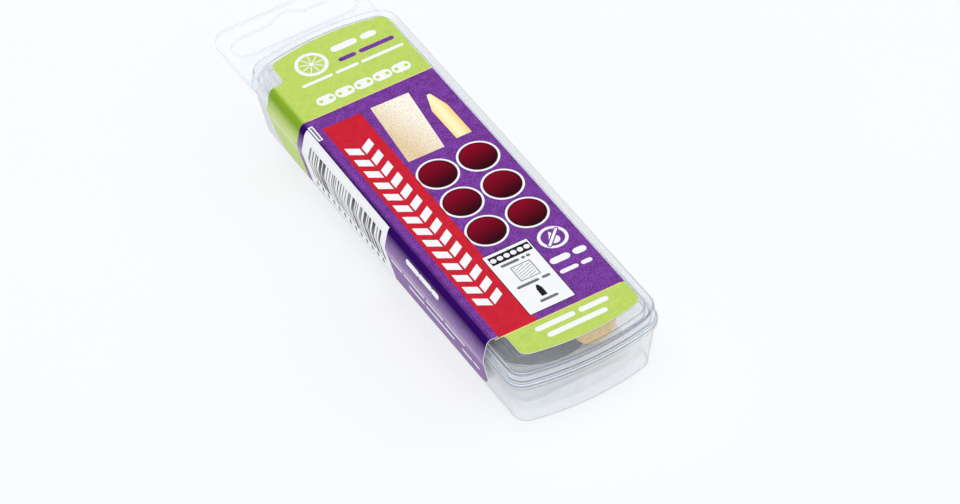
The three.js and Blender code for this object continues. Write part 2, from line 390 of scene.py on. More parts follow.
def clear_plastic(name, haze, through, gloss, near_shade=None):
    """Clear moulded polypropylene, whose walls are too thin to bend the view behind them.

    haze is the share of light that scatters in it, through is its tint face on (it is grey edge
    on), gloss is how much it mirrors face on, and a tint given for the near end is painted shade
    that darkens it towards the case's near end, for the dark lines its bevels show there."""
    s = Shader(name)
    # painted shade: the tint darkens towards the case's near end
    if near_shade:
        along = s.vector("DOT_PRODUCT", s.place, (0, 1, 0))
        through = s.mix(s.spread(along, 0.85 - RIM_L, 25 - RIM_L, 0, 1), near_shade, through)
    flow = s.noise(9, detail=3)
    scuff = s.noise(0.8, detail=4, roughness=0.6)
    surface = s.bump(flow, 0.02, 0.3)
    facing = s.add("ShaderNodeLayerWeight", {"Blend": 0.5, "Normal": surface}).outputs["Facing"]
    tint = s.mix(s.math("POWER", facing, 9), through, srgb(40, 48, 64))
    clear = s.add("ShaderNodeBsdfTransparent", {"Color": tint}).outputs[0]
    cloud = srgb(245, 247, 251)
    milk = s.add("ShaderNodeBsdfTranslucent", {"Color": cloud, "Normal": surface}).outputs[0]
    chalk = s.add("ShaderNodeBsdfDiffuse", {"Color": cloud, "Normal": surface}).outputs[0]
    scatter = s.add("ShaderNodeMixShader", {0: 0.55, 1: milk, 2: chalk}).outputs[0]
    share = s.spread(flow, 0.3, 0.7, haze * 0.85, haze * 1.15)
    body = s.add("ShaderNodeMixShader", {0: share, 1: clear, 2: scatter}).outputs[0]
    shine = s.spread(scuff, 0.35, 0.75, 0.04, 0.12)
    mirror = s.add("ShaderNodeBsdfGlossy", {"Roughness": shine, "Normal": surface}).outputs[0]
    reflected = s.math("MULTIPLY_ADD", s.math("POWER", facing, 5), 1 - gloss, gloss)
    lit = s.add("ShaderNodeMixShader", {0: reflected, 1: body, 2: mirror}).outputs[0]
    passing = s.add("ShaderNodeBsdfTransparent", {"Color": (0.94, 0.95, 0.96, 1)}).outputs[0]
    shadow = s.add("ShaderNodeLightPath").outputs["Is Shadow Ray"]
    mixed = s.add("ShaderNodeMixShader", {0: shadow, 1: lit, 2: passing}).outputs[0]
    return s.finish(mixed)


def printed(name, colour, mottle=0.1, fold_shade=None):
    """Printed label stock: ink with a fine mottled grain under a glossy film.

    A colour given for the crease is painted shade: the ink is darkened to it where the sheet is
    creased over the lid's edge. The film is dull there, and duller on the hinge side below it than on the
    lid."""
    s = Shader(name, uv="print")
    grain = s.noise(0.25, detail=3, roughness=0.8)
    cloud = s.noise(1.6, detail=2)
    level = s.math("ADD", s.math("MULTIPLY", grain, 0.85), s.math("MULTIPLY", cloud, 0.15))
    tint = s.mix(s.spread(level, 0.4, 0.6, 0, 1), darker(colour, 1 - mottle), darker(colour, 1 + mottle))
    film, sheen = 0.95, 0.15
    if fold_shade:
        # the fold is at -FOLD_X, and lower values are further down the hinge side
        across = s.vector("DOT_PRODUCT", s.place, (1, 0, 0))
        start = s.spread(across, -0.1 - FOLD_X, -0.8 - FOLD_X, 0, 1)
        end = s.spread(across, -1.9 - FOLD_X, -4.6 - FOLD_X, 1, 0)
        fold_shade_share = s.math("MULTIPLY", start, end)
        # painted shade: the ink darkens to the crease colour along the fold over the lid's edge
        tint = s.mix(fold_shade_share, tint, fold_shade)
        below = s.spread(across, -5.8 - FOLD_X, -7.4 - FOLD_X, 1, 0.35)
        gloss = s.math("MULTIPLY", below, s.math("SUBTRACT", 1, fold_shade_share))
        film = s.math("MULTIPLY", gloss, film)
        sheen = s.math("MULTIPLY", gloss, sheen)
    surface = s.bump(grain, 0.003, 0.5)
    return s.finish(s.principled(
        Base_Color=tint, Roughness=0.5, Specular_IOR_Level=sheen, Normal=surface, Coat_Weight=film,
        Coat_IOR=1.9, Coat_Roughness=s.spread(cloud, 0.3, 0.7, 0.1, 0.18), Coat_Normal=surface))


def disc_print():
    """A pictured patch: dark red that is lighter towards one side, inside a black rim."""
    s = Shader("print_disc", uv="print")
    slope = s.vector("DOT_PRODUCT", s.place, (-0.02, 0.13, 0))
    share = s.spread(s.math("ADD", slope, s.math("MULTIPLY", s.noise(0.5), 0.25)), -0.2, 0.5, 0, 1)
    red = s.mix(share, srgb(52, 0, 16), srgb(132, 2, 34))
    edge = s.spread(s.vector("LENGTH", s.place), 3.25, 3.36, 0, 1)
    tint = s.mix(edge, red, srgb(14, 8, 12))
    return s.finish(s.principled(Base_Color=tint, Roughness=0.3, Specular_IOR_Level=0.15))


def pad_print():
    """A pictured abrasive sheet: cream, browner towards one side, with tan specks."""
    s = Shader("print_pad", uv="print")
    across = s.vector("DOT_PRODUCT", s.place, (1, 0.3, 0))
    cream = s.mix(s.spread(across, -4, 3, 0, 1), srgb(226, 202, 160), srgb(247, 241, 226))
    specks = s.spread(s.noise(0.3, detail=2), 0.54, 0.64, 0, 1)
    tint = s.mix(s.math("MULTIPLY", specks, 0.5), cream, srgb(176, 130, 84))
    return s.finish(s.principled(Base_Color=tint, Roughness=0.4))


def crayon_print():
    """A pictured wax crayon: pale yellow, warmer along its edges."""
    s = Shader("print_crayon", uv="print")
    across = s.vector("DOT_PRODUCT", s.place, (1, 0, 0))
    away = s.math("ABSOLUTE", s.math("SUBTRACT", across, -0.2))
    tint = s.mix(s.spread(away, 0.3, 1.6, 0, 1), srgb(254, 244, 196), srgb(244, 212, 132))
    grained = s.mix(s.spread(s.noise(0.4), 0.4, 0.7, 0, 0.3), tint, srgb(226, 184, 96))
    return s.finish(s.principled(Base_Color=grained, Roughness=0.4))


def coarse(name, low, high, size, rough, depth, detail=4):
    """A matt material with two tones and a bump of the same grain."""
    s = Shader(name)
    grain = s.noise(size, detail=detail, roughness=0.6)
    tint = s.mix(s.spread(grain, 0.3, 0.7, 0, 1), low, high)
    surface = s.bump(grain, depth, 0.8)
    return s.finish(s.principled(Base_Color=tint, Roughness=rough, Normal=surface))


def pale_floor():
    """A pale table that is lit a little from below, as a studio table is."""
    s = Shader("pale_floor")
    tint = s.mix(s.noise(60, detail=2), srgb(248, 249, 251), srgb(250, 251, 253))
    top = s.principled(Base_Color=tint, Roughness=0.75, Specular_IOR_Level=0.2)
    glow = s.add("ShaderNodeEmission", {"Color": tint, "Strength": 0.985}).outputs[0]
    return s.finish(s.add("ShaderNodeMixShader", {0: 0.75, 1: top, 2: glow}).outputs[0])


LID_PLASTIC = clear_plastic("clear_lid_plastic", 0.13, srgb(254, 255, 255), 0.03)
BASE_PLASTIC = clear_plastic("clear_base_plastic", 0.4, srgb(254, 255, 255), 0.03)
# the corner plastic is tinted darker as painted shade, most at the near end, for the dark lines that the
# case's small rounded corners show
CORNER_PLASTIC = clear_plastic(
    "clear_corner_plastic", 0.12, srgb(248, 250, 252), 0.05, near_shade=srgb(188, 194, 205))
# the crease colours below are painted shade along the fold over the lid's edge
GREEN = printed("print_green", srgb(190, 216, 100), mottle=0.15, fold_shade=srgb(132, 168, 44))
PURPLE = printed("print_purple", srgb(117, 54, 152), mottle=0.75, fold_shade=srgb(50, 12, 94))
RED = printed("print_red", srgb(204, 18, 44), mottle=0.22)
YELLOW = printed("print_yellow", srgb(240, 220, 140))
WHITE = printed("print_white", srgb(247, 247, 249), mottle=0.02)
BLACK = printed("print_black", srgb(22, 18, 24), mottle=0.15, fold_shade=srgb(22, 18, 24))
GREY = printed("print_grey", srgb(112, 112, 120), mottle=0.1)
STOCK = coarse("label_stock", srgb(232, 230, 236), srgb(244, 243, 247), 0.5, 0.6, 0.005)
RUBBER = coarse("patch_rubber", srgb(24, 21, 24), srgb(40, 35, 39), 0.5, 0.6, 0.01)
RELEASE = coarse("release_paper", srgb(238, 236, 228), srgb(247, 246, 241), 0.8, 0.55, 0.01)
BOARD = coarse("pad_board", srgb(214, 198, 160), srgb(232, 220, 188), 0.6, 0.85, 0.02)
GRIT = coarse("pad_grit", srgb(116, 84, 46), srgb(236, 214, 172), 0.3, 0.95, 0.08)
WAX = coarse("crayon_wax", srgb(232, 178, 74), srgb(244, 204, 106), 1.1, 0.42, 0.02)
SLEEVE = coarse("crayon_paper", srgb(204, 174, 120), srgb(224, 196, 146), 0.5, 0.75, 0.01)


# ---- the case ----

def lid_rows():
    """The lid's section: from the panel's edge down its outside, round the rim and up its inside.

    A row is an inset, a height, a corner radius and how far its rounding reaches."""
    rim = SEAM + 0.05
    rows = [
        (PANEL_INSET + 0.5, PANEL_TOP, 2.7, 0),
        (PANEL_INSET + 0.05, PANEL_TOP, 2.9, 0.35),
        (PANEL_INSET - 0.75, PANEL_FOOT, 3.2, 0.35),
        (0.75, LEDGE_BEAD - 0.05, 3.8, 0.3),
        (0.2, LEDGE_BEAD, 4.1, 0.35),
        (0.22, rim + 0.95, 3.5, 0.15),
        (0.0, rim + 0.65, 3.4, 0.12),
        (0.0, rim, 3.4, 0.12),
        (0.9, rim, 2.9, 0.1),
        (0.95, LIP_TOP + 0.3, 2.9, 0.3),
        (1.5, PANEL_FOOT - WALL, 2.7, 0.3),
        (PANEL_INSET - 0.05, PANEL_FOOT - WALL + 0.1, 2.6, 0.3),
        (PANEL_INSET + 0.75, PANEL_TOP - WALL, 2.4, 0.3),
        (PANEL_INSET + 1.4, PANEL_TOP - WALL, 2.2, 0),
    ]
    return soften(rows)


def base_rows():
    """The tray's section: from its underside up its outside, over the lip and down its inside."""
    rim = SEAM - 0.05
    rows = [
        (BASE_INSET + 1.3, 0, 2.4, 0),
        (BASE_INSET + 0.1, 0, 2.8, 0.28),
        (0.4, FLANGE_UNDER - 0.4, 3.2, 0.2),
        (0.0, FLANGE_UNDER, 3.4, 0.15),
        (0.0, rim, 3.4, 0.12),
        (1.05, rim, 2.9, 0.1),
        (1.05, LIP_TOP, 2.9, 0.25),
        (1.7, LIP_TOP, 2.6, 0.2),
        (BASE_INSET + 1.1, FLOOR, 2.2, 0.7),
        (BASE_INSET + 2.4, FLOOR, 2.0, 0),
    ]
    return soften(rows)


def tab_loops():
    """The hang tab's outline, which starts inside the case's far wall, and its euro slot."""
    root = case_outline(RIM_W - 1.15, RIM_L - LENGTH_INSET * 1.15, 2.8)
    far_half = len(root) // 2
    inner = [point for point in root[:far_half] if abs(point[0]) < TAB_W - 1.2]
    corner = (TAB_W - TAB_CORNER, TAB_END - TAB_CORNER)
    outline = [(-TAB_W, RIM_L - RIM_CORNER)] + list(reversed(inner)) + [(TAB_W, RIM_L - RIM_CORNER)]
    outline += arc(corner, TAB_CORNER, 0, 90, 10)
    outline += arc((-corner[0], corner[1]), TAB_CORNER, 90, 180, 10)

    end = SLOT_HALF - SLOT_R
    rise = math.degrees(math.asin(SLOT_R / HUMP_R))
    slot = arc((end, SLOT_Y), SLOT_R, -90, 90, 14)
    slot += arc((0, SLOT_Y), HUMP_R, rise, 180 - rise, 16)
    slot += arc((-end, SLOT_Y), SLOT_R, 90, 270, 14)
    return [outline, slot]


def make_case():
    """The lid, and the tray with its hang tab as one moulding."""
    lid = add_object("clear_lid", sweep_case("clear_lid", lid_rows()), [LID_PLASTIC, CORNER_PLASTIC])
    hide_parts("case_lid")
    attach(lid, "lid")

    tray = sweep_case("clear_tray", base_rows())
    tab = plate_mesh("hang_tab", tab_loops(), TAB_TOP - TAB_THICK, TAB_THICK, TAB_BEVEL)
    for mesh in (tray, tab):
        mesh.materials.append(BASE_PLASTIC)
        mesh.materials.append(CORNER_PLASTIC)
    base = add_object("clear_base", join_solids("clear_base", tray, tab), [])
    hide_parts("case_base")
    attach(base, "base")


make_case()


# ---- the label's sheet ----

# the path across the lid, over the fold and down the hinge side, as (x, z) rows
LABEL_TOP = PANEL_TOP + LABEL_LIFT
LABEL_PATH = soften([
    (RIM_W, LABEL_TOP, 0),
    (-FOLD_X + 0.3, LABEL_TOP, 0),
    (-FOLD_X - 1.2, LABEL_TOP, 1.25),
    (HINGE_X - 0.4, SEAM, 0.7),
    (-RIM_W + BASE_INSET - 0.5, WRAP_BOTTOM, 0),
], steps=9)


def path_lengths():
    """The unrolled u of each point of the path: u is x on the lid and runs on past the fold."""
    lengths = [LABEL_PATH[0].x]
    for here, following in zip(LABEL_PATH, LABEL_PATH[1:]):
        lengths.append(lengths[-1] - (following - here).length)
    return lengths


def path_normals():
    """The outward direction at each point of the path."""
    normals = []
    for i in range(len(LABEL_PATH)):
        before = LABEL_PATH[max(i - 1, 0)]
        after = LABEL_PATH[min(i + 1, len(LABEL_PATH) - 1)]
        along = (after - before).normalized()
        normals.append(Vector((along.y, -along.x)))
    return normals


PATH_U = path_lengths()
PATH_NORMALS = path_normals()
FOLD_U = PATH_U[1]


def wrapped(u, y, lift):
    """The place in the case of an unrolled point of the label, lift millimetres off its underside."""
    k = 0
    while k < len(PATH_U) - 2 and u < PATH_U[k + 1]:
        k += 1
    t = (PATH_U[k] - u) / (PATH_U[k] - PATH_U[k + 1])
    spot = LABEL_PATH[k].lerp(LABEL_PATH[k + 1], t)
    normal = PATH_NORMALS[k].lerp(PATH_NORMALS[k + 1], t).normalized()
    return Vector((spot.x + normal.x * lift, y, spot.y + normal.y * lift))


def u_at_height(z):
    """The unrolled u where the path comes down to a height."""
    for k in range(len(LABEL_PATH) - 1):
        high = LABEL_PATH[k].y
        low = LABEL_PATH[k + 1].y
        if high >= z > low:
            return PATH_U[k] + (PATH_U[k + 1] - PATH_U[k]) * (high - z) / (high - low)
    return PATH_U[-1]


def print_to_case(x, y):
    """Print coordinates to unrolled case coordinates."""
    c, s = math.cos(PRINT_TURN), math.sin(PRINT_TURN)
    return c * x + s * y, -s * x + c * y


def flat_shapes(shapes, turned=True, centred=False):
    """A flat mesh of shapes, each an outer loop and its holes, cut along the label's bends."""
    bm = bmesh.new()
    uv = bm.loops.layers.uv.new("print")
    for loops in shapes:
        points = [Vector((x, y, 0)) for loop in loops for x, y in loop]
        origin = sum(map(Vector, loops[0]), Vector((0, 0))) / len(loops[0]) if centred else Vector((0, 0))
        places = [print_to_case(p.x, p.y) if turned else (p.x, p.y) for p in points]
        verts = [bm.verts.new((x, y, 0)) for x, y in places]
        parts = tessellate_polygon([[Vector((x, y, 0)) for x, y in loop] for loop in loops])
        for part in parts:
            if (points[part[1]] - points[part[0]]).cross(points[part[2]] - points[part[0]]).length < 1e-9:
                continue
            face = bm.faces.new([verts[i] for i in part])
            for loop, i in zip(face.loops, part):
                loop[uv].uv = points[i].to_2d() - origin
    strips = [u_at_height(SEAM + step * BEND_STRIP) for step in range(-BEND_STRIPS, BEND_STRIPS + 1)]
    for u in PATH_U[1:-1] + strips:
        cut_flat(bm, (u, 0, 0), (1, 0, 0))
    return bm


def cut_flat(bm, point, normal):
    parts = list(bm.verts) + list(bm.edges) + list(bm.faces)
    bmesh.ops.bisect_plane(bm, geom=parts, plane_co=point, plane_no=normal, dist=1e-5)


def wrapped_solid(name, flat, low, high, edge_index=0):
    """A closed thin solid from a flat mesh, between two lifts off the label's underside."""
    for face in flat.faces:
        face.normal_update()
        if face.normal.z < 0:
            face.normal_flip()
    uv = flat.loops.layers.uv["print"]
    bm = bmesh.new()
    new_uv = bm.loops.layers.uv.new("print")
    under = {v: bm.verts.new(wrapped(v.co.x, v.co.y, low)) for v in flat.verts}
    over = {v: bm.verts.new(wrapped(v.co.x, v.co.y, high)) for v in flat.verts}

    def copy_face(corners, uvs, index):
        face = bm.faces.new(corners)
        face.material_index = index
        for loop, value in zip(face.loops, uvs):
            loop[new_uv].uv = value

    for face in flat.faces:
        uvs = [loop[uv].uv.copy() for loop in face.loops]
        corners = list(face.verts)
        copy_face([over[v] for v in corners], uvs, face.material_index)
        copy_face([under[v] for v in reversed(corners)], list(reversed(uvs)), edge_index)
        for loop in face.loops:
            if loop.edge.is_boundary:
                a = loop.vert
                b = loop.link_loop_next.vert
                ends = [loop[uv].uv.copy(), loop.link_loop_next[uv].uv.copy()]
                copy_face([under[a], under[b], over[b], over[a]], ends + ends[::-1], edge_index)
    flat.free()
    return mesh_from(bm, name)


def label_outline():
    """The label unrolled: the lid's panel shape, a notch at each end, and the wrap."""
    panel = [(x + LABEL_SHIFT.x, y + LABEL_SHIFT.y)
             for x, y in case_outline(LABEL_W, LABEL_L, LABEL_CORNER)]
    half = len(panel) // 2
    left = LABEL_SHIFT.x - LABEL_W
    round_x = PATH_U[-1] + WRAP_CORNER
    round_y = WRAP_HALF - WRAP_DRAW - WRAP_CORNER
    seam = (u_at_height(SEAM), WRAP_HALF - 0.2)
    loop = panel[:half]
    loop += arc((left - NOTCH_R, WRAP_HALF + NOTCH_R), NOTCH_R, 0, -90, 6)
    loop += [seam]
    loop += arc((round_x, round_y), WRAP_CORNER, 90, 180, 8)
    loop += arc((round_x, -round_y), WRAP_CORNER, 180, 270, 8)
    loop += [(seam[0], -seam[1])]
    loop += arc((left - NOTCH_R, -WRAP_HALF - NOTCH_R), NOTCH_R, 90, 0, 6)
    return loop + panel[half:]


def bend_with_lid(piece):
    """Bakes the piece's place into its mesh; it is attached to neither the lid nor the base."""
    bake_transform(piece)


def make_label():
    """One sheet, purple between its two green ends, with a pale underside and edge."""
    flat = flat_shapes([[label_outline()]], turned=False)
    normal = Vector(print_to_case(0, 1)).to_3d()
    for y in (GREEN_FAR, GREEN_NEAR):
        cut_flat(flat, Vector(print_to_case(0, y)).to_3d(), normal)
    for face in flat.faces:
        y = face.calc_center_median().dot(normal)
        face.material_index = 0 if GREEN_NEAR < y < GREEN_FAR else 1
    mesh = wrapped_solid("label_sheet", flat, 0, LABEL_THICK, edge_index=2)
    label = add_object("label_sheet", mesh, [PURPLE, GREEN, STOCK])
    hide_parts("label_top", "label_side")
    bend_with_lid(label)


make_label()


# ---- shapes for the print, in print coordinates ----

def rectangle(x0, y0, x1, y1):
    """A shape is a list of loops: its outline, then its holes."""
    return [[(x0, y0), (x1, y0), (x1, y1), (x0, y1)]]


def disc(x, y, radius, steps=40):
    return [arc((x, y), radius, 0, 360, steps)[:-1]]


def ring(x, y, outer, inner, steps=48):
    return disc(x, y, outer, steps) + disc(x, y, inner, steps)


def bar(start, end, width, steps=5):
    """A straight bar with round ends."""
    a, b = Vector(start), Vector(end)
    turn = math.degrees(math.atan2(b.y - a.y, b.x - a.x))
    loop = arc(b, width / 2, turn - 90, turn + 90, steps) + arc(a, width / 2, turn + 90, turn + 270, steps)
    return [loop]


def word_bars(x0, x1, y, height, words, gap=0.9):
    """A row of round-ended bars, one for each word of a line, in proportion to the words."""
    scale = (x1 - x0 - gap * height * (len(words) - 1)) / sum(words)
    shapes = []
    x = x0
    for word in words:
        end = x + word * scale
        shapes.append(bar((x + height / 2, y), (end - height / 2, y), height))
        x = end + gap * height
    return shapes


def ink(name, shapes, material, level=1, body="lid", centred=False):
    """Printed shapes on the label. A higher level lies over a lower one."""
    flat = flat_shapes(shapes, centred=centred)
    low = LABEL_THICK - INK
    mesh = wrapped_solid(name, flat, low, LABEL_THICK + INK * level)
    piece = add_object(name, mesh, [material])
    if body:
        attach(piece, body)
    else:
        bend_with_lid(piece)


# ---- the print on the lid ----

STRIPE = (-12.2, -4.55)
DISC_R = 3.5


def tread_blocks():
    """A tyre tread: bold chevrons, each split down the middle."""
    middle = -8.95
    pitch = 3.46
    thick = 1.9
    shapes = []
    for k in range(14):
        y = -31.4 + k * pitch
        for side in (-1, 1):
            inner = middle + side * 0.2
            outer = middle + side * 2.5
            rise = 1.5
            shapes.append([[(inner, y), (outer, y + rise), (outer, y + rise + thick), (inner, y + thick)]])
    return shapes


def chain_link(x, y):
    """A chain's link plate: a waisted oval with two holes."""
    reach, size = 1.12, 1.46
    outline = []
    for i in range(44):
        angle = 2 * math.pi * i / 44
        square = reach ** 2 * math.cos(2 * angle)
        radius = math.sqrt(square + math.sqrt(size ** 4 - reach ** 4 * math.sin(2 * angle) ** 2))
        outline.append((x + radius * math.cos(angle), y + 1.25 * radius * math.sin(angle)))
    holes = [arc((x + side * 1.0, y), 0.4, 0, 360, 16)[:-1] for side in (-1, 1)]
    return [outline] + holes


def wheel(x, y, size, spokes=9):
    """A wheel: a rim, a hub and thin spokes."""
    shapes = [ring(x, y, size, size * 0.78), disc(x, y, size * 0.16, 16)]
    for k in range(spokes):
        angle = 2 * math.pi * k / spokes
        along = Vector((math.cos(angle), math.sin(angle))) * size
        centre = Vector((x, y))
        shapes.append(bar(centre + along * 0.23, centre + along * 0.71, size * 0.07, 2))
    return shapes


def drop(x, y, size):
    """A drop of glue."""
    round_part = arc((x, y), size, -215, 35, 18)
    return [round_part + [(x, y + 2.2 * size)]]


def make_stripe():
    """The bold stripe beside the fold, with a tread pattern on it."""
    ink("print_stripe", [rectangle(STRIPE[0], GREEN_NEAR, STRIPE[1], 23.6)], RED)
    ink("print_tread", tread_blocks(), WHITE, level=2)


def make_discs():
    """Six pictured patches, each in a white rim."""
    centres = [(x, y) for x in (-0.83, 7.35) for y in (2.17, -6.38, -14.93)]
    ink("print_rings", [disc(x, y, DISC_R + 0.42, 56) for x, y in centres], WHITE)
    ink("print_discs", [disc(x, y, DISC_R, 56) for x, y in centres], disc_print(), level=2, centred=True)


def make_pictures():
    """The pictured abrasive pad and crayon."""
    pad = [(-3.65, 7.7), (3.65, 7.63), (5.23, 23.4), (-2.44, 23.6)]
    ink("print_pad_picture", [[pad]], pad_print(), centred=True)
    crayon = [(6.5, 8.3), (9.6, 8.3), (9.5, 16.85), (8.3, 21.0), (7.6, 21.0), (6.35, 16.85)]
    ink("print_crayon_picture", [[crayon]], crayon_print(), centred=True)


def slanted_lines(x0, y0, side, gap, slope=0.35):
    """Thin parallel lines that slant gently across a square and fill it."""
    lines = []
    shift = gap - slope * side
    while shift < side:
        start = max(0, -shift / slope)
        end = min(side, (side - shift) / slope)
        first = (x0 + start, y0 + shift + slope * start)
        last = (x0 + end, y0 + shift + slope * end)
        lines.append(bar(first, last, HAIRLINE, 2))
        shift += gap
    return lines


def make_info_box():
    """A white card with a dark outline, which pictures the patches, the pad and the crayon."""
    line = 0.13
    left, low, right, high = -5.0, -37.0, 3.85, -20.5
    ink("print_info_edge", [rectangle(left - line, low - line, right + line, high + line)], BLACK, level=2)
    ink("print_info_box", [rectangle(left, low, right, high)], WHITE, level=3)
    marks = [rectangle(-4.4, -23.25, 3.6, -21.15)]
    # the pad is a square outline
    x0, y0, side = -2.2, -29.15, 3.9
    x1, y1 = x0 + side, y0 + side
    marks += [rectangle(x0, y0, x1, y0 + line), rectangle(x0, y1 - line, x1, y1)]
    marks += [rectangle(x0, y0 + line, x0 + line, y1 - line)]
    marks += [rectangle(x1 - line, y0 + line, x1, y1 - line)]
    crayon = [(-1.0, -34.2), (0.1, -34.2), (0.1, -32.3), (-0.25, -31.3), (-0.65, -31.3), (-1.0, -32.3)]
    marks.append([crayon])
    ink("print_info_marks", marks, BLACK, level=4)
    dots = [disc(-3.75 + 1.335 * k, -22.2, 0.56, 20) for k in range(6)]
    ink("print_info_dots", dots, WHITE, level=5)

    fine = slanted_lines(x0 + 0.35, y0 + 0.35, side - 0.7, 0.6)
    fine += word_bars(-3.4, 2.3, -24.15, 0.62, [8, 1, 1])
    fine += word_bars(-3.7, 2.9, -30.25, 0.62, [8, 3])
    fine += word_bars(-1.95, 1.65, -35.15, 0.62, [6])
    ink("print_info_lines", fine, GREY, level=4)


def make_white_marks():
    """The other marks: a crossed-out drop, a wheel, a chain, and bars in place of words."""
    marks = []
    # a crossed-out drop of glue, with two lines under it
    marks.append(ring(7.9, -22.7, 2.75, 2.15))
    marks.append(drop(7.9, -23.3, 1.0))
    marks += word_bars(4.3, 11.5, -27.9, 1.5, [3, 2], gap=0.4)
    marks += word_bars(4.5, 10.9, -30.95, 0.95, [5, 3], gap=0.6)
    # two lines on the near green band
    marks += word_bars(-6.2, 8.3, -40.65, 1.15, [8, 6], gap=0.6)
    marks += word_bars(-5.1, 6.8, -42.9, 1.15, [11], gap=0.6)
    # a row of chain links, a line and a wheel on the far green band
    marks += [chain_link(-7.9 + 3.85 * k, 30.0) for k in range(5)]
    marks += word_bars(-9.9, 10.9, 35.2, 0.7, [8, 6, 11], gap=0.8)
    marks += wheel(-5.6, 39.6, 3.1)
    marks += word_bars(-0.9, 8.4, 40.9, 1.5, [5, 3], gap=0.5)
    ink("print_white_marks", marks, WHITE)

    borders = [rectangle(FOLD_U, y - 0.09, LABEL_W + 0.1, y + 0.09) for y in (GREEN_FAR, GREEN_NEAR)]
    ink("print_borders", borders, YELLOW, level=2)

    slash = [(6.4, -24.2), (9.4, -21.2)]
    ink("print_slash_gap", [bar(slash[0], slash[1], 0.95)], PURPLE, level=2)
    ink("print_slash", [bar(slash[0], slash[1], 0.5)], WHITE, level=3)
    ink("print_dark_line", word_bars(-1.0, 10.4, 37.8, 1.0, [3, 6], gap=0.6), PURPLE)


# ---- the print on the hinge side ----

def side_rectangle(y0, y1, top, bottom):
    """A rectangle on the label's side between two heights, in print coordinates."""
    return rectangle(u_at_height(bottom), y0, u_at_height(top), y1)


def make_side_print():
    """A white panel with stripes, a small box on the fold, and bars in place of words."""
    bottom = PATH_U[-1] + 0.05
    fold = FOLD_U - 1.3
    ink("print_side_panel", [rectangle(bottom, -4.6, fold, 25.0)], WHITE, body=None)
    ink("print_fold_box", [rectangle(FOLD_U - 1.15, 21.2, FOLD_U - 0.25, 25.3)], WHITE, level=2)
    ink("print_fold_marks", [bar((FOLD_U - 0.7, 21.6 + 0.6 * k), (FOLD_U - 0.7, 21.85 + 0.6 * k), 0.4, 3)
                             for k in range(6)], GREY, level=3)

    chance = random.Random(7)
    stripes, pale = [], []
    y = 22.6
    while y > -3.4:
        width = chance.choice((0.3, 0.3, 0.6, 0.9))
        target = stripes if chance.random() < 0.45 else pale
        target.append(side_rectangle(y - width, y, 13.0, 5.6))
        y -= width + chance.choice((0.3, 0.6, 0.6))
    ink("print_stripes_dark", stripes, BLACK, level=2, body=None)
    ink("print_stripes_pale", pale, GREY, level=2, body=None)

    row = u_at_height(4.0)
    small = [bar((row - 0.5, 22.4 - 1.95 * k), (row + 0.5, 22.2 - 1.95 * k), 0.55, 3) for k in range(13)]
    ink("print_stripe_row", small, BLACK, level=2, body="base")

    upper = [bar((u_at_height(12.9), y0), (u_at_height(12.9), y1), 1.0)
             for y0, y1 in ((-11.9, -15.4), (-16.3, -19.8), (-20.7, -22.2))]
    ink("print_side_upper", upper, WHITE, body=None)
    lower = [bar((u_at_height(z), y0), (u_at_height(z), y1), width)
             for z, width, y0, y1 in (
                 (8.6, 0.7, -6.2, -9.4), (8.6, 0.7, -10.6, -17.0), (8.6, 0.7, -18.2, -23.5),
                 (8.6, 0.7, -24.7, -30.8), (5.8, 0.8, -11.2, -15.8), (5.8, 0.8, -17.0, -26.0),
                 (5.6, 0.8, -29.2, -32.0), (5.6, 0.8, -33.0, -34.4))]
    ink("print_side_lower", lower, WHITE, body=None)


make_stripe()
make_discs()
make_pictures()
make_info_box()
make_white_marks()
make_side_print()


# ---- the living hinge ----

def make_hinge():
    """A thin web that joins the two rims round the outside of the hinge line."""
    path = soften([
        (-RIM_W + 0.25, SEAM - 0.35, 0),
        (-RIM_W - 0.1, SEAM - 0.35, 0.12),
        (HINGE_X - 0.35, SEAM, 0.35),
        (-RIM_W - 0.1, SEAM + 0.35, 0.12),
        (-RIM_W + 0.25, SEAM + 0.35, 0),
    ], steps=6)
    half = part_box("hinge_film")[1].y / MM
    thick = 0.2
    bm = bmesh.new()
    rings = []
    for i, here in enumerate(path):
        along = (path[min(i + 1, len(path) - 1)] - path[max(i - 1, 0)]).normalized()
        inner = here + Vector((-along.y, along.x)) * thick
        rings.append([bm.verts.new((p.x, y, p.y)) for p, y in
                      ((here, -half), (here, half), (inner, half), (inner, -half))])
    for first, following in zip(rings, rings[1:]):
        bridge(bm, first, following)
    bm.faces.new(rings[0])
    bm.faces.new(rings[-1])
    bmesh.ops.recalc_face_normals(bm, faces=bm.faces)
    web = add_object("living_hinge", mesh_from(bm, "living_hinge"), [LID_PLASTIC])
    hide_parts("hinge_film")
    bend_with_lid(web)


make_hinge()


# ---- the contents ----

def place_content(name, bm, material, node, turn=None):
    """Adds a content piece that stands for a CAD node and rides on the base."""
    if turn:
        bmesh.ops.transform(bm, matrix=turn, verts=bm.verts)
    piece = add_object(name, mesh_from(bm, name), [material])
    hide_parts(node)
    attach(piece, "base")


def make_patch(number):
    """A round patch: a low dome with a feathered edge and a faint moulded step."""
    node = f"patch_{number}"
    low, high = box_mm(node)
    radius = (high.x - low.x) / 2
    thick = high.z - low.z
    profile = [(0, thick), (radius * 0.3, thick), (radius * 0.58, thick * 0.97),
               (radius * 0.62, thick * 0.88), (radius * 0.8, thick * 0.72), (radius * 0.92, thick * 0.4),
               (radius * 0.98, thick * 0.15), (radius, 0.06), (radius, 0), (0, 0)]
    bm = lathe(profile)
    bmesh.ops.translate(bm, verts=bm.verts, vec=((low.x + high.x) / 2, (low.y + high.y) / 2, low.z))
    place_content(f"rubber_patch_{number}", bm, RUBBER, node)


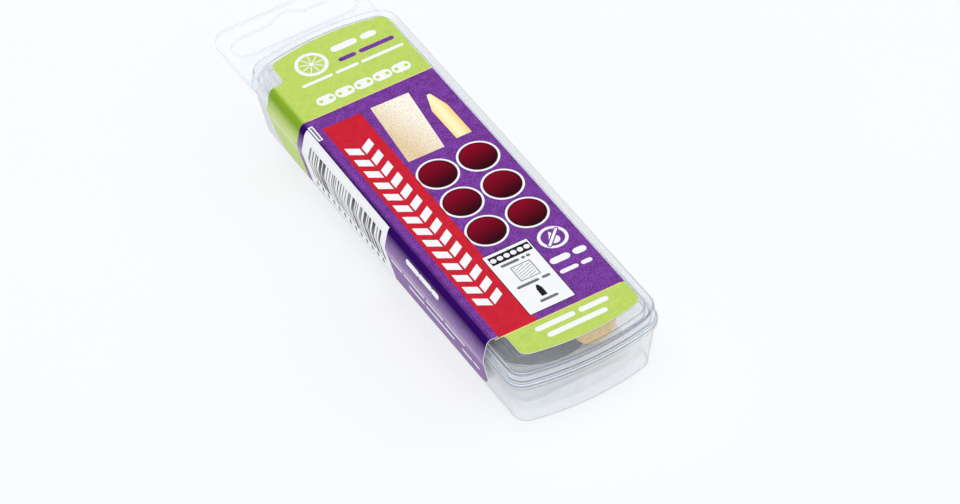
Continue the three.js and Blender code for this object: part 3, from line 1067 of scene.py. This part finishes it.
def rounded_grid(low, high, corner, step, top):
    """A closed slab with round corners, seen from above a fine grid whose top is top(x, y)."""
    half = Vector(((high.x - low.x) / 2, (high.y - low.y) / 2))
    centre = Vector(((high.x + low.x) / 2, (high.y + low.y) / 2))
    columns = max(2, round(2 * half.x / step))
    rows = max(2, round(2 * half.y / step))
    bm = bmesh.new()
    upper, lower = [], []
    for j in range(rows + 1):
        for i in range(columns + 1):
            x = -half.x + 2 * half.x * i / columns
            y = -half.y + 2 * half.y * j / rows
            reach = Vector((max(abs(x) - half.x + corner, 0), max(abs(y) - half.y + corner, 0)))
            if reach.length > corner:
                pull = reach * (corner / reach.length)
                x = math.copysign(half.x - corner + pull.x, x)
                y = math.copysign(half.y - corner + pull.y, y)
            x += centre.x
            y += centre.y
            upper.append(bm.verts.new((x, y, top(x, y))))
            lower.append(bm.verts.new((x, y, low.z)))
    width = columns + 1

    def quad(verts, i, j):
        a = j * width + i
        return [verts[a], verts[a + 1], verts[a + 1 + width], verts[a + width]]

    for j in range(rows):
        for i in range(columns):
            bm.faces.new(quad(upper, i, j))
            bm.faces.new(quad(lower, i, j)[::-1])
    edge = [(i, 0) for i in range(columns)] + [(columns, j) for j in range(rows)]
    edge += [(i, rows) for i in range(columns, 0, -1)] + [(0, j) for j in range(rows, 0, -1)]
    for (i, j), (k, m) in zip(edge, edge[1:] + edge[:1]):
        a = j * width + i
        b = m * width + k
        bm.faces.new((lower[a], lower[b], upper[b], upper[a]))
    bmesh.ops.remove_doubles(bm, verts=bm.verts, dist=1e-4)
    bmesh.ops.recalc_face_normals(bm, faces=bm.faces)
    return bm


def make_sheet(level):
    """A release-paper strip, very slightly cockled."""
    node = f"patch_sheet_{level}"
    low, high = box_mm(node)

    def top(x, y):
        return high.z - 0.03 + 0.03 * noise.noise(Vector((x / 9, y / 9, low.z)))

    bm = rounded_grid(low, high, 3.0, 1.2, top)
    place_content(f"release_sheet_{level}", bm, RELEASE, node)


def make_pad():
    """The abrasive pad: a thin board, and a coat of grit whose grains stand up."""
    low, high = box_mm("abrasive_backing")
    bm = rounded_grid(low, high, 1.0, 2.0, lambda x, y: high.z)
    place_content("pad_backing", bm, BOARD, "abrasive_backing")

    low, high = box_mm("abrasive_grit")

    def top(x, y):
        coarse_grain = noise.noise(Vector((x * 2.2, y * 2.2, 0.5)))
        fine_grain = noise.noise(Vector((x * 5.1, y * 5.1, 3.5)))
        return high.z - 0.14 + 0.09 * coarse_grain + 0.05 * fine_grain

    bm = rounded_grid(low, high, 1.0, 0.28, top)
    place_content("pad_grit_coat", bm, GRIT, "abrasive_grit")


def along_y(low, high):
    """Turns a lathe's axis onto Y and puts it on a box's centre line, from the box's near end."""
    centre = Vector(((low.x + high.x) / 2, low.y, (low.z + high.z) / 2))
    return Matrix.Translation(centre) @ Matrix.Rotation(math.radians(-90), 4, "X")


def make_crayon():
    """A wax crayon with a worn, rounded tip, in a lapped paper sleeve."""
    low, high = box_mm("crayon_stick")
    radius = (high.x - low.x) / 2
    length = high.y - low.y
    tip = 4
    shoulder = length - tip
    profile = soften([
        (0, 0, 0), (radius - 0.02, 0, 0.35), (radius - 0.02, shoulder, 0.5),
        (radius * 0.9, shoulder + 0.25, 0.2), (1.35, length, 0.8), (0, length, 0)], steps=6)
    bm = lathe([tuple(row) for row in profile])
    for vert in bm.verts:
        if vert.co.z > shoulder + 1:
            wear = 0.12 * noise.noise(vert.co * 0.9)
            vert.co.x *= 1 + wear
            vert.co.y *= 1 + wear
            vert.co.z -= 0.25 * abs(noise.noise(vert.co * 0.7))
    place_content("wax_crayon", bm, WAX, "crayon_stick", along_y(low, high))

    low, high = box_mm("crayon_wrapper")
    outer = (high.x - low.x) / 2
    length = high.y - low.y
    wall = 0.2
    lap = 0.1
    steps = 96
    spans = 8
    bm = bmesh.new()
    rings = []
    for k in range(spans + 1):
        y = length * k / spans
        outer_ring, inner_ring = [], []
        for i in range(steps):
            turn = i / steps
            angle = 2 * math.pi * turn
            # the paper's edge shows as a small step along the sleeve
            swell = lap * (1 - turn) - lap
            place = y
            if k in (0, spans):
                place += 0.05 * noise.noise(Vector((math.cos(angle), math.sin(angle), k)))
            for verts, r in ((outer_ring, outer + swell), (inner_ring, outer - wall)):
                verts.append(bm.verts.new((r * math.cos(angle), r * math.sin(angle), place)))
        rings.append((outer_ring, inner_ring))
    for (outer_ring, inner_ring), (next_outer, next_inner) in zip(rings, rings[1:]):
        bridge(bm, outer_ring, next_outer)
        bridge(bm, inner_ring, next_inner)
    bridge(bm, rings[0][0], rings[0][1])
    bridge(bm, rings[-1][0], rings[-1][1])
    bmesh.ops.recalc_face_normals(bm, faces=bm.faces)
    place_content("crayon_sleeve", bm, SLEEVE, "crayon_wrapper", along_y(low, high))


for level in ("lower", "upper"):
    make_sheet(level)
for number in range(1, 7):
    make_patch(number)
make_pad()
make_crayon()


# ---- the stage ----

def make_floor():
    """A square floor, in millimetres, that fills every view."""
    half = 2000
    bm = bmesh.new()
    bm.faces.new([bm.verts.new((x * half, y * half, 0)) for x, y in ((-1, -1), (1, -1), (1, 1), (-1, 1))])
    floor = add_object("floor", mesh_from(bm, "floor"), [pale_floor()])


def area_light(name, place, size, power):
    """A round soft light that looks at the case's middle, with its place and size in metres."""
    data = bpy.data.lights.new(name, "AREA")
    data.shape = "DISK"
    data.size = size
    data.energy = power
    lamp = bpy.data.objects.new(name, data)
    bpy.context.scene.collection.objects.link(lamp)
    lamp.location = place
    lamp.rotation_euler = (-Vector(place)).to_track_quat("-Z", "Y").to_euler()


def make_world():
    """A bright, even studio that is dark beyond the hang tab, where the top would mirror it."""
    world = bpy.data.worlds.new("studio")
    world.use_nodes = True
    tree = world.node_tree
    background = tree.nodes["Background"]
    direction = tree.nodes.new("ShaderNodeTexCoord").outputs["Generated"]
    toward = tree.nodes.new("ShaderNodeVectorMath")
    toward.operation = "DOT_PRODUCT"
    tree.links.new(direction, toward.inputs[0])
    toward.inputs[1].default_value = Vector((-0.15, 0.8, 0.55)).normalized()
    share = tree.nodes.new("ShaderNodeMapRange")
    share.interpolation_type = "SMOOTHSTEP"
    tree.links.new(toward.outputs["Value"], share.inputs["Value"])
    for key, value in {"From Min": 0.45, "From Max": 0.8, "To Min": 0.97, "To Max": 0.04}.items():
        share.inputs[key].default_value = value
    tree.links.new(share.outputs["Result"], background.inputs["Strength"])
    background.inputs["Color"].default_value = (0.95, 0.97, 1.0, 1)
    bpy.context.scene.world = world


def make_camera():
    """The camera looks down on the hinge side, with a long lens and a slight roll."""
    azimuth = math.radians(-27.16)
    elevation = math.radians(44.29)
    roll = math.radians(-4.98)
    distance = 0.99784
    aim = Vector((-1.1, -11.9, PANEL_TOP / 2 + 0.05)) * MM
    data = bpy.data.cameras.new("camera")
    data.lens = 214.02
    data.sensor_width = 36
    data.clip_start = 0.05
    camera = bpy.data.objects.new("camera", data)
    bpy.context.scene.collection.objects.link(camera)
    back = Vector((math.sin(azimuth) * math.cos(elevation), -math.cos(azimuth) * math.cos(elevation),
                   math.sin(elevation)))
    right = Vector((0, 0, 1)).cross(back).normalized()
    up = back.cross(right)
    tilted = right * math.cos(roll) + up * math.sin(roll)
    up = back.cross(tilted)
    turn = Matrix((tilted, up, back)).transposed().to_4x4()
    camera.matrix_world = Matrix.Translation(aim + back * distance) @ turn
    bpy.context.scene.camera = camera


make_floor()
make_world()
area_light("overhead", (-0.1, 0.2, 0.9), 0.9, 4.9)
area_light("right_fill", (0.7, -0.2, 0.6), 0.6, 0.8)
make_camera()
bpy.context.scene.view_settings.view_transform = "Standard"
bpy.context.scene.cycles.use_denoising = True
bpy.context.scene.cycles.transparent_max_bounces = 16
